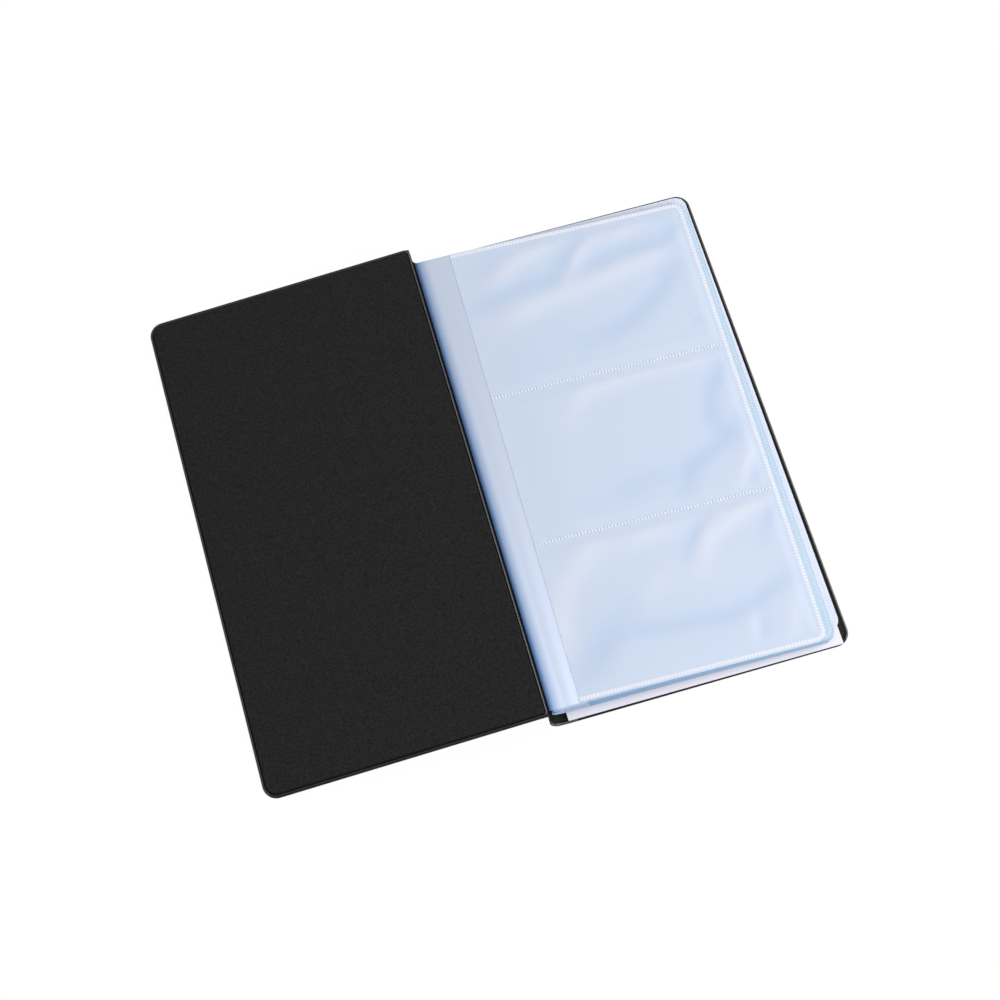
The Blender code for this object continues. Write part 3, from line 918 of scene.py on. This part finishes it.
def slackness(x, y):
    """0 on a weld, 1 in the open middle of a pocket and at its mouth."""
    fore_weld = LEAF_WIDTH - FORE_WELD_INSET
    nearest = min(abs(y - level) for level in weld_levels)
    nearest = min(nearest, abs(fore_weld - x))
    inside = near_weld < y < far_weld and x < fore_weld
    return ease((nearest - WELD_HALF) / WELD_FADE) if inside else 0.0


def openness(depth):
    """0 at a pocket's mouth, where its film lies down on the leaf, and 1 a little way in."""
    return ease(depth / MOUTH_FADE)


def pocket_gap(depth):
    """Air between a leaf and its pocket film on a weld, a distance in from the mouth."""
    gap = ROOT_POCKET_GAP + (FORE_POCKET_GAP - ROOT_POCKET_GAP) * depth / LEAF_WIDTH
    return MOUTH_GAP + (gap - MOUTH_GAP) * openness(depth)


def thicken(bm):
    """Give a film its thickness, downwards, and mark its cut edges, but not its mouth."""
    bmesh.ops.recalc_face_normals(bm, faces=bm.faces)
    if bm.faces[:][0].normal.z < 0:
        bmesh.ops.reverse_faces(bm, faces=bm.faces)
    bmesh.ops.solidify(bm, geom=bm.faces[:], thickness=FILM)
    for face in bm.faces:
        cut = face.normal.x > EDGE_FACING or abs(face.normal.y) > EDGE_FACING
        face.material_index = 1 if cut else 0


def hang_edge(bm, bottom, number, in_pocket):
    """Let a film's cut edge near the reader hang down to the leaf below, as in the pressed stack."""
    for vert in bm.verts:
        depth = vert.co.x if in_pocket else 0.0
        room = pocket_gap(depth) + FILM + HANG_CLEARANCE if in_pocket else GUTTER_CLEARANCE
        if vert.co.y < bottom + HANG_REACH and vert.co.z < film_level(number, depth) - FILM / 2:
            vert.co.z = film_level(number + 1, depth) + room


def make_base(number, outline):
    """The leaf's own film."""
    bm = outline.copy()
    for vert in bm.verts:
        vert.co.z = film_level(number, vert.co.x)
    thicken(bm)
    if 1 < number < LEAF_COUNT:
        hang_edge(bm, LEAF_BOTTOM, number, True)
    bmesh.ops.transform(bm, matrix=leaf_seat(number), verts=bm.verts)
    return finish_piece(f"leaf_{number:02d}_base", bm, [leaf_film, film_edge])


def make_pockets(number, outline):
    """The pocket film: slack between the welds on the top leaf, flat below, with the attribute lift for
    its painted wave shading.
    """
    bm = outline.copy()
    lift = bm.verts.layers.float.new("lift")
    for vert in bm.verts:
        x, y = vert.co.x, vert.co.y
        loose = slackness(x, y)
        wave = wave_at(x / MM, y / MM) if number == 1 else other_wave_at(x / MM, y / MM, number)
        swell = max(SLACK + WAVE_HEIGHT * wave, 0.0) * loose * openness(x) if number == 1 else 0.0
        vert.co.z = film_level(number, x) + pocket_gap(x) + FILM + swell
        # The attribute lift is painted shading from the wave, also on the flat leaves below.
        share = LIFT_ON_WELD + (1 - LIFT_ON_WELD) * loose
        vert[lift] = min(max(0.5 + LIFT_GAIN * wave * share, 0.0), 1.0)
    thicken(bm)
    bmesh.ops.transform(bm, matrix=leaf_seat(number), verts=bm.verts)
    film = {1: top_pockets, LEAF_COUNT: lowest_pockets}.get(number, block_pockets)
    return finish_piece(f"leaf_{number:02d}_pocket_sheet", bm, [film, film_edge])


top_outline = leaf_face(TOP_GRID)
lower_outline = leaf_face(LOWER_GRID)
for number in range(1, LEAF_COUNT + 1):
    outline = top_outline if number == 1 else lower_outline
    base_film = make_base(number, outline)
    pockets = make_pockets(number, outline)
    for piece, slot, node in ((base_film, "leaf_film", "film"), (pockets, "pocket_film", "pockets")):
        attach(piece, f"leaf_{number:02d}")
        stand_for(piece, slot, f"leaf_{number:02d}_{node}")
top_outline.free()
lower_outline.free()

# %% [markdown]
# ** Gutters.** Beside the fold each leaf is one film wide, without a pocket. On the book it bends when the
# leaf turns; here it is drawn as it lies. A grid is enough here, pulled to the twisted pocket edge on one
# side and to the straight fold on the other.

# %% Gutters
GUTTER_ACROSS = 20
GUTTER_ALONG = 36
GUTTER_SWELL = 0.25 * MM
DEEP_X = -4.8 * MM
CLEAR_X = 0.2 * MM


def mark_depth(bm):
    """Note on each point how far out of the spine it lies, for the finish's painted shade."""
    clear = bm.verts.layers.float.new("clear")
    for vert in bm.verts:
        vert[clear] = min(max((vert.co.x - DEEP_X) / (CLEAR_X - DEEP_X), 0.0), 1.0)


def make_gutter(number):
    """The narrow film between a leaf's fold and its pocket edge."""
    bm = bmesh.new()
    bmesh.ops.create_grid(bm, x_segments=GUTTER_ACROSS, y_segments=GUTTER_ALONG, size=0.5)
    seat = leaf_seat(number)
    bottom = LEAF_BOTTOM + leaf_slip(number).y
    for vert in bm.verts:
        across, along = vert.co.x + 0.5, vert.co.y + 0.5
        edge = seat @ Vector((0, LEAF_BOTTOM + LEAF_HEIGHT * along, 0))
        straight = Vector((FOLD_X, bottom + LEAF_HEIGHT * along, 0))
        vert.co = straight.lerp(edge, across)
        swell = GUTTER_SWELL * math.sin(math.pi * across) ** 2 * (1 - along) ** 2 if number == 1 else 0.0
        vert.co.z = film_level(number, 0.0) + swell
    thicken(bm)
    if 1 < number < LEAF_COUNT:
        hang_edge(bm, bottom, number, False)
    mark_depth(bm)
    piece = finish_piece(f"leaf_{number:02d}_gutter_strip", bm, [gutter_film, film_edge])
    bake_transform(piece)
    stand_for(piece, "leaf_film", f"leaf_{number:02d}_gutter")


for number in range(1, LEAF_COUNT + 1):
    make_gutter(number)

# %% [markdown]
# ** Folds.** Five sheets of film are folded once and nested, so the stack shows a bundle of U shapes at
# its ends. Each fold is an edge spun half a turn and stretched sideways, then given the film's thickness
# and sheared along Y where its upper leaf has slipped beside its lower one.

# %% Folds and binding strip
FOLD_STEPS = 24
BINDING_HALF_ANGLE = math.radians(24)
BINDING = 0.15 * MM
FOLD_SNUG = 0.7 * MM
END_FACING = 0.6


def spin_fold(name, reach, rise, centre, slips, start, sweep, thickness, materials):
    """A strip round part of an ellipse, from an angle at the top round the left, slipped along Y."""
    bm = bmesh.new()
    ends = [bm.verts.new((0, y, rise)) for y in (LEAF_BOTTOM, LEAF_BOTTOM + LEAF_HEIGHT)]
    edge = bm.edges.new(ends)
    bmesh.ops.rotate(bm, cent=(0, 0, 0), matrix=Matrix.Rotation(-start, 3, "Y"), verts=ends)
    bmesh.ops.spin(bm, geom=[edge, *ends], cent=(0, 0, 0), axis=ALONG_SPINE, angle=-sweep,
                   steps=FOLD_STEPS)
    upper, lower = slips
    middle, slope = (upper + lower) / 2, (upper - lower) / (2 * rise)
    slip = Matrix(((reach / rise, 0, 0, 0), (0, 1, slope, middle), (0, 0, 1, 0), (0, 0, 0, 1)))
    bmesh.ops.transform(bm, matrix=Matrix.Translation(centre) @ slip, verts=bm.verts)
    bmesh.ops.recalc_face_normals(bm, faces=bm.faces)
    bmesh.ops.solidify(bm, geom=bm.faces[:], thickness=thickness)
    for face in bm.faces:
        face.material_index = len(materials) - 1 if abs(face.normal.y) > END_FACING else 0
    mark_depth(bm)
    piece = finish_piece(name, bm, materials, smooth=50)
    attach(piece, "back_cover")
    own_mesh(piece)
    return piece


for sheet in range(1, LEAF_COUNT // 2 + 1):
    low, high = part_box(f"sheet_{sheet}_fold")
    fold_rise = (high.z - low.z - FILM) / 2
    fold_reach = high.x - low.x - FILM / 2 + FOLD_SNUG
    fold_centre = Vector((high.x, 0, (low.z + high.z) / 2))
    slips = (leaf_slip(sheet).y, leaf_slip(LEAF_COUNT + 1 - sheet).y)
    # Only the outermost fold's cut ends get the painted glint.
    fold = spin_fold(f"film_fold_{sheet}", fold_reach, fold_rise, fold_centre, slips,
                     0.0, math.pi, FILM, [gutter_film, fold_glint if sheet == 1 else film_edge])
    stand_for(fold, "leaf_film", f"sheet_{sheet}_fold")
    if sheet == 1:
        gap = FILM / 2 + BINDING
        stretch = (math.pi / 2 - BINDING_HALF_ANGLE, 2 * BINDING_HALF_ANGLE)
        binding = spin_fold("spine_binding", fold_reach + gap, fold_rise + gap, fold_centre, slips,
                            *stretch, BINDING, [lining_vinyl])
        stand_for(binding, "lining_vinyl", "binding_strip")

# %% [markdown]
# **Weld marks.** A toothed welding bar joins the films with a row of short bars, side by side, across the
# line. They are white because the film turns milky where it has melted. One flat eight-sided frustum is
# set again and again along the lines, each with its own matrix: round the free edges with the corner's
# curve, and along the two lines between the pockets. On the top leaf each mark stands on a thin plate,
# and the plates make a band: milky along the free edges, and tight and blue between the pockets.

# %% Weld marks
WELD_PITCH = 1.3 * MM
WELD_LENGTH = 1.6 * MM
WELD_BREADTH = 0.6 * MM
WELD_PROUD = 0.045 * MM
BAND_LENGTH = 1.7 * MM
SEAM_LENGTH = 1.3 * MM
BAND_PROUD = 0.025 * MM
DIVIDER_STOP = 1.2 * MM
MARK_SIDES = 8
MARK_FOOT = 0.5
MARK_TOP = 0.36
WELD_FINISHES = [weld_white, weld_faint, weld_seam, weld_band]
MILKY, FAINT, SEAM, BAND = range(len(WELD_FINISHES))


def weld_places():
    """Points and headings along the welds, and whether each mark lies between two pockets."""
    radius = LEAF_CORNER - WELD_INSET
    right = LEAF_WIDTH - FORE_WELD_INSET
    low, high = near_weld, far_weld
    runs = [((0, level), 0, right - radius, False) for level in (low, high)]
    runs += [((0, level), 0, right - DIVIDER_STOP, True) for level in weld_levels[1:-1]]
    runs.append(((right, low + radius), 90, high - low - 2 * radius, False))
    for start, degrees, length, divides in runs:
        count = int(length / WELD_PITCH)
        heading = math.radians(degrees)
        way = Vector((math.cos(heading), math.sin(heading)))
        for mark in range(count):
            yield Vector(start) + way * (mark + 0.5) * length / count, heading, divides
    corners = [((right - radius, low + radius), -90), ((right - radius, high - radius), 0)]
    count = round(radius * math.pi / 2 / WELD_PITCH)
    for centre, degrees in corners:
        for mark in range(count):
            angle = math.radians(degrees + 90 * (mark + 0.5) / count)
            point = Vector(centre) + radius * Vector((math.cos(angle), math.sin(angle)))
            yield point, angle + math.pi / 2, False


def set_finish(made, finish):
    """Give the faces of a new form the finish of that number."""
    for face in {face for vert in made["verts"] for face in vert.link_faces}:
        face.material_index = finish


def add_mark(bm, place, finish):
    """One milky bar of a weld."""
    shape = Matrix.Diagonal((WELD_BREADTH, WELD_LENGTH, 1, 1))
    made = bmesh.ops.create_cone(bm, cap_ends=True, segments=MARK_SIDES, radius1=MARK_FOOT,
                                 radius2=MARK_TOP, depth=2 * WELD_PROUD, matrix=place @ shape)
    set_finish(made, finish)


def add_plate(bm, place, length, finish):
    """The thin plate under a mark, as long as the row's pitch, so that the plates join into a band."""
    shape = Matrix.Diagonal((WELD_PITCH, length, 2 * BAND_PROUD, 1))
    set_finish(bmesh.ops.create_cube(bm, size=1.0, matrix=place @ shape), finish)


def make_welds(number):
    """All the weld marks of one leaf, with bands and seams on the top leaf."""
    bm = bmesh.new()
    for point, heading, divides in weld_places():
        level = film_level(number, point.x) + pocket_gap(point.x) + FILM
        place = Matrix.Translation((point.x, point.y, level)) @ Matrix.Rotation(heading, 4, "Z")
        add_mark(bm, place, MILKY if number == 1 else FAINT)
        if number == 1:
            add_plate(bm, place, *((SEAM_LENGTH, SEAM) if divides else (BAND_LENGTH, BAND)))
    bmesh.ops.recalc_face_normals(bm, faces=bm.faces)
    bmesh.ops.transform(bm, matrix=leaf_seat(number), verts=bm.verts)
    finishes = WELD_FINISHES if number == 1 else WELD_FINISHES[:SEAM]
    piece = finish_piece(f"leaf_{number:02d}_weld_marks", bm, finishes)
    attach(piece, f"leaf_{number:02d}")


for number in range(1, LEAF_COUNT + 1):
    make_welds(number)
print("weld marks on each leaf:", sum(1 for _ in weld_places()))

# %% [markdown]
# ## Floor, light and camera
# The book lies on a plain white table. The floor shows the camera mostly a plain white, so the background
# is even, and keeps a small part of its own shading. The light is a wide white room with two large soft
# lamps: one low on the right, which draws the beads, and one from the front on the right, which lights
# the edges of the leaves.

# %% Floor and room
FLOOR_HALF = 15.0
FLOOR_WHITE = 0.97
FLOOR_GREY = 0.9
ROOM_STRENGTH = 0.7


def make_floor():
    """A wide plane at the table's height, white to the camera and to reflections."""
    bm = bmesh.new()
    bmesh.ops.create_grid(bm, x_segments=1, y_segments=1, size=FLOOR_HALF)
    material = bpy.data.materials.new("floor_white")
    material.use_nodes = True
    tree = material.node_tree
    tree.nodes.remove(tree.nodes["Principled BSDF"])
    lit = add(material, "ShaderNodeBsdfDiffuse", {"Color": (FLOOR_GREY, FLOOR_GREY, FLOOR_GREY, 1.0)})
    white = add(material, "ShaderNodeEmission", {"Color": (1.0, 1.0, 1.0, 1.0), "Strength": 1.0})
    rays = add(material, "ShaderNodeLightPath", {}).outputs
    seen = rays["Is Camera Ray"]
    for ray in ("Is Glossy Ray", "Is Transmission Ray"):
        seen = add(material, "ShaderNodeMath", {0: seen, 1: rays[ray]}, operation="MAXIMUM").outputs[0]
    share = add(material, "ShaderNodeMath", {0: seen, 1: FLOOR_WHITE}, operation="MULTIPLY")
    sockets = {0: share.outputs[0], 1: lit.outputs[0], 2: white.outputs[0]}
    mix = add(material, "ShaderNodeMixShader", sockets)
    feed(material, tree.nodes["Material Output"].inputs["Surface"], mix.outputs[0])
    floor = finish_piece("floor", bm, [material])
    floor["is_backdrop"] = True


make_floor()
world = bpy.data.worlds.new("white_room")
world.use_nodes = True
room = world.node_tree.nodes["Background"].inputs
room["Color"].default_value = (1.0, 1.0, 1.0, 1.0)
room["Strength"].default_value = ROOM_STRENGTH
bpy.context.scene.world = world
print("floor and room ready")

# %% Lamps
AIM = Vector((0, 0, 0.005))
RIGHT_LAMP = {"place": (0.95, 0.2, 0.63), "size": 0.5, "power": 7.0}
FRONT_LAMP = {"place": (0.6, -0.8, 0.9), "size": 0.8, "power": 12.0}


def make_lamp(name, place, size, power):
    """A square soft lamp that faces the book."""
    lamp = bpy.data.lights.new(name, "AREA")
    lamp.size = size
    lamp.energy = power
    holder = bpy.data.objects.new(name, lamp)
    holder.location = place
    holder.rotation_euler = (AIM - Vector(place)).to_track_quat("-Z", "Y").to_euler()
    bpy.context.collection.objects.link(holder)


make_lamp("soft_lamp_right", **RIGHT_LAMP)
make_lamp("soft_lamp_front", **FRONT_LAMP)
print("lamps ready")

# %% [markdown]
# The camera stands at the photograph's place: high, in front and a little to the left. Its lens is long
# for a small object, which keeps the covers' edges nearly parallel.

# %% Camera
LENS = 79.2
SENSOR = 36.0
CAMERA_PLACE = (-0.08627, -0.31076, 0.78795)
CAMERA_TURN = (21.7635, -0.1653, -15.7989)
camera_data = bpy.data.cameras.new("photo_camera")
camera_data.lens = LENS
camera_data.sensor_width = SENSOR
camera = bpy.data.objects.new("photo_camera", camera_data)
camera.location = CAMERA_PLACE
camera.rotation_euler = [math.radians(angle) for angle in CAMERA_TURN]
bpy.context.collection.objects.link(camera)
bpy.context.scene.camera = camera
bpy.context.scene.view_settings.view_transform = "Standard"
print("camera ready")

# %% [markdown]
# ## The size
# The last cell prints the size of the dressed book.

# %% Print the size
low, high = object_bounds()
print("size in mm:", [round(side / MM, 2) for side in high - low])
